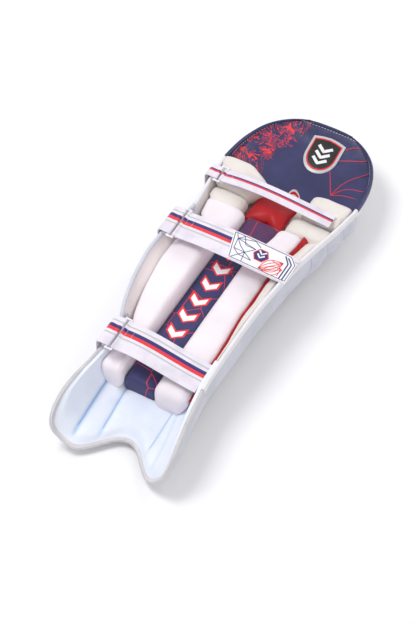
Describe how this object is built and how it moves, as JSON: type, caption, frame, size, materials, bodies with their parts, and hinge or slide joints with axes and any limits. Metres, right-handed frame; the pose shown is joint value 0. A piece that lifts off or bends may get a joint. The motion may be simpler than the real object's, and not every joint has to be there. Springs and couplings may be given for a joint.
{
  "type": "cricket leg pad",
  "caption": "Cricket batting leg pad with a cane-stiffened shin, knee rolls, a curved top hat, padded bolsters inside and hook-and-loop straps.",
  "frame": {"origin": "middle of the pad's box, on the plane that it lies on with its front face down", "axes": "+X across the pad, away from the side with the wing and the strap rings; +Y along the pad from the toe end to the top hat; +Z out of the inner side that faces the leg"},
  "size_m": [0.2524, 0.7012, 0.1087],
  "materials": {
    "white_face_leather": "soft pebbled synthetic leather, low sheen",
    "foam": "closed-cell foam",
    "instep_lining": "smooth lining cloth, matt",
    "silver_binding": "ribbed silver-grey tape",
    "cane": "split cane rods",
    "cream_leather": "soft cream synthetic leather, matt",
    "pale_blue_mesh": "fine knitted mesh",
    "navy_lining": "navy lining cloth, matt",
    "badge": "moulded soft badge",
    "red_leather": "soft red synthetic leather",
    "printed_patch": "printed synthetic leather",
    "strap_webbing": "woven webbing with stripes along it",
    "ring_metal": "drawn steel wire",
    "hook_tape": "hook tape",
    "loop_tape": "loop tape"
  },
  "bodies": {
    "pad": {"instep_face": "white_face_leather", "instep_foam": "foam", "instep_lining": "instep_lining", "instep_binding": "silver_binding", "shin_face": "white_face_leather", "shin_canes": "cane", "shin_foam": "foam", "shin_lining": "cream_leather", "knee_roll_lower": "white_face_leather", "knee_roll_middle": "white_face_leather", "knee_roll_upper": "white_face_leather", "knee_foam": "foam", "knee_lining": "cream_leather", "left_bolster": "cream_leather", "right_bolster": "cream_leather", "right_bolster_gusset": "red_leather", "center_strip": "navy_lining", "right_side_roll": "cream_leather", "knee_cushion": "red_leather", "knee_label": "printed_patch", "lower_knee_bolster_left": "cream_leather", "lower_knee_bolster_right": "cream_leather", "upper_knee_bolster_left": "cream_leather", "upper_knee_bolster_right": "cream_leather", "knee_strap_tab": "strap_webbing", "knee_strap_loop_patch": "loop_tape", "calf_strap_loop_patch": "loop_tape", "ankle_strap_tab": "strap_webbing", "ankle_strap_loop_patch": "loop_tape"},
    "side_wing": {"wing_cover": "pale_blue_mesh", "wing_foam": "foam", "wing_lining": "cream_leather", "left_bolster_gusset": "red_leather", "calf_strap_tab": "strap_webbing"},
    "top_hat": {"top_hat_face": "white_face_leather", "top_hat_foam": "foam", "top_hat_lining": "navy_lining", "top_hat_piping": "navy_lining", "badge_rim": "silver_binding", "badge_shield": "badge"},
    "knee_strap": {"knee_strap_ring": "ring_metal", "knee_strap_webbing": "strap_webbing", "knee_strap_hook_pad": "hook_tape"},
    "calf_strap": {"calf_strap_ring": "ring_metal", "calf_strap_webbing": "strap_webbing", "calf_strap_hook_pad": "hook_tape", "calf_strap_end_patch": "printed_patch"},
    "ankle_strap": {"ankle_strap_ring": "ring_metal", "ankle_strap_webbing": "strap_webbing", "ankle_strap_hook_pad": "hook_tape"}
  },
  "joints": [
    {"name": "top_hat_flex", "type": "hinge", "parent": "pad", "child": "top_hat", "pos_m": [0, 0.206, 0.0734], "axis": [1, 0, 0], "range_deg": [0, 12]},
    {"name": "side_wing_flex", "type": "hinge", "parent": "pad", "child": "side_wing", "pos_m": [-0.08358, -0.043, 0.03171], "axis": [0.0596, -0.9982, 0.003], "range_deg": [0, 16]},
    {"name": "knee_strap_open", "type": "hinge", "parent": "pad", "child": "knee_strap", "pos_m": [-0.10176, 0.16, 0.08598], "axis": [0, -1, 0], "range_deg": [0, 140]},
    {"name": "calf_strap_open", "type": "hinge", "parent": "side_wing", "child": "calf_strap", "pos_m": [-0.0998, 0.027, 0.1045], "axis": [0, -1, 0], "range_deg": [0, 140]},
    {"name": "ankle_strap_open", "type": "hinge", "parent": "pad", "child": "ankle_strap", "pos_m": [-0.072, -0.194, 0.0995], "axis": [0, -1, 0], "range_deg": [0, 140]}
  ]
}
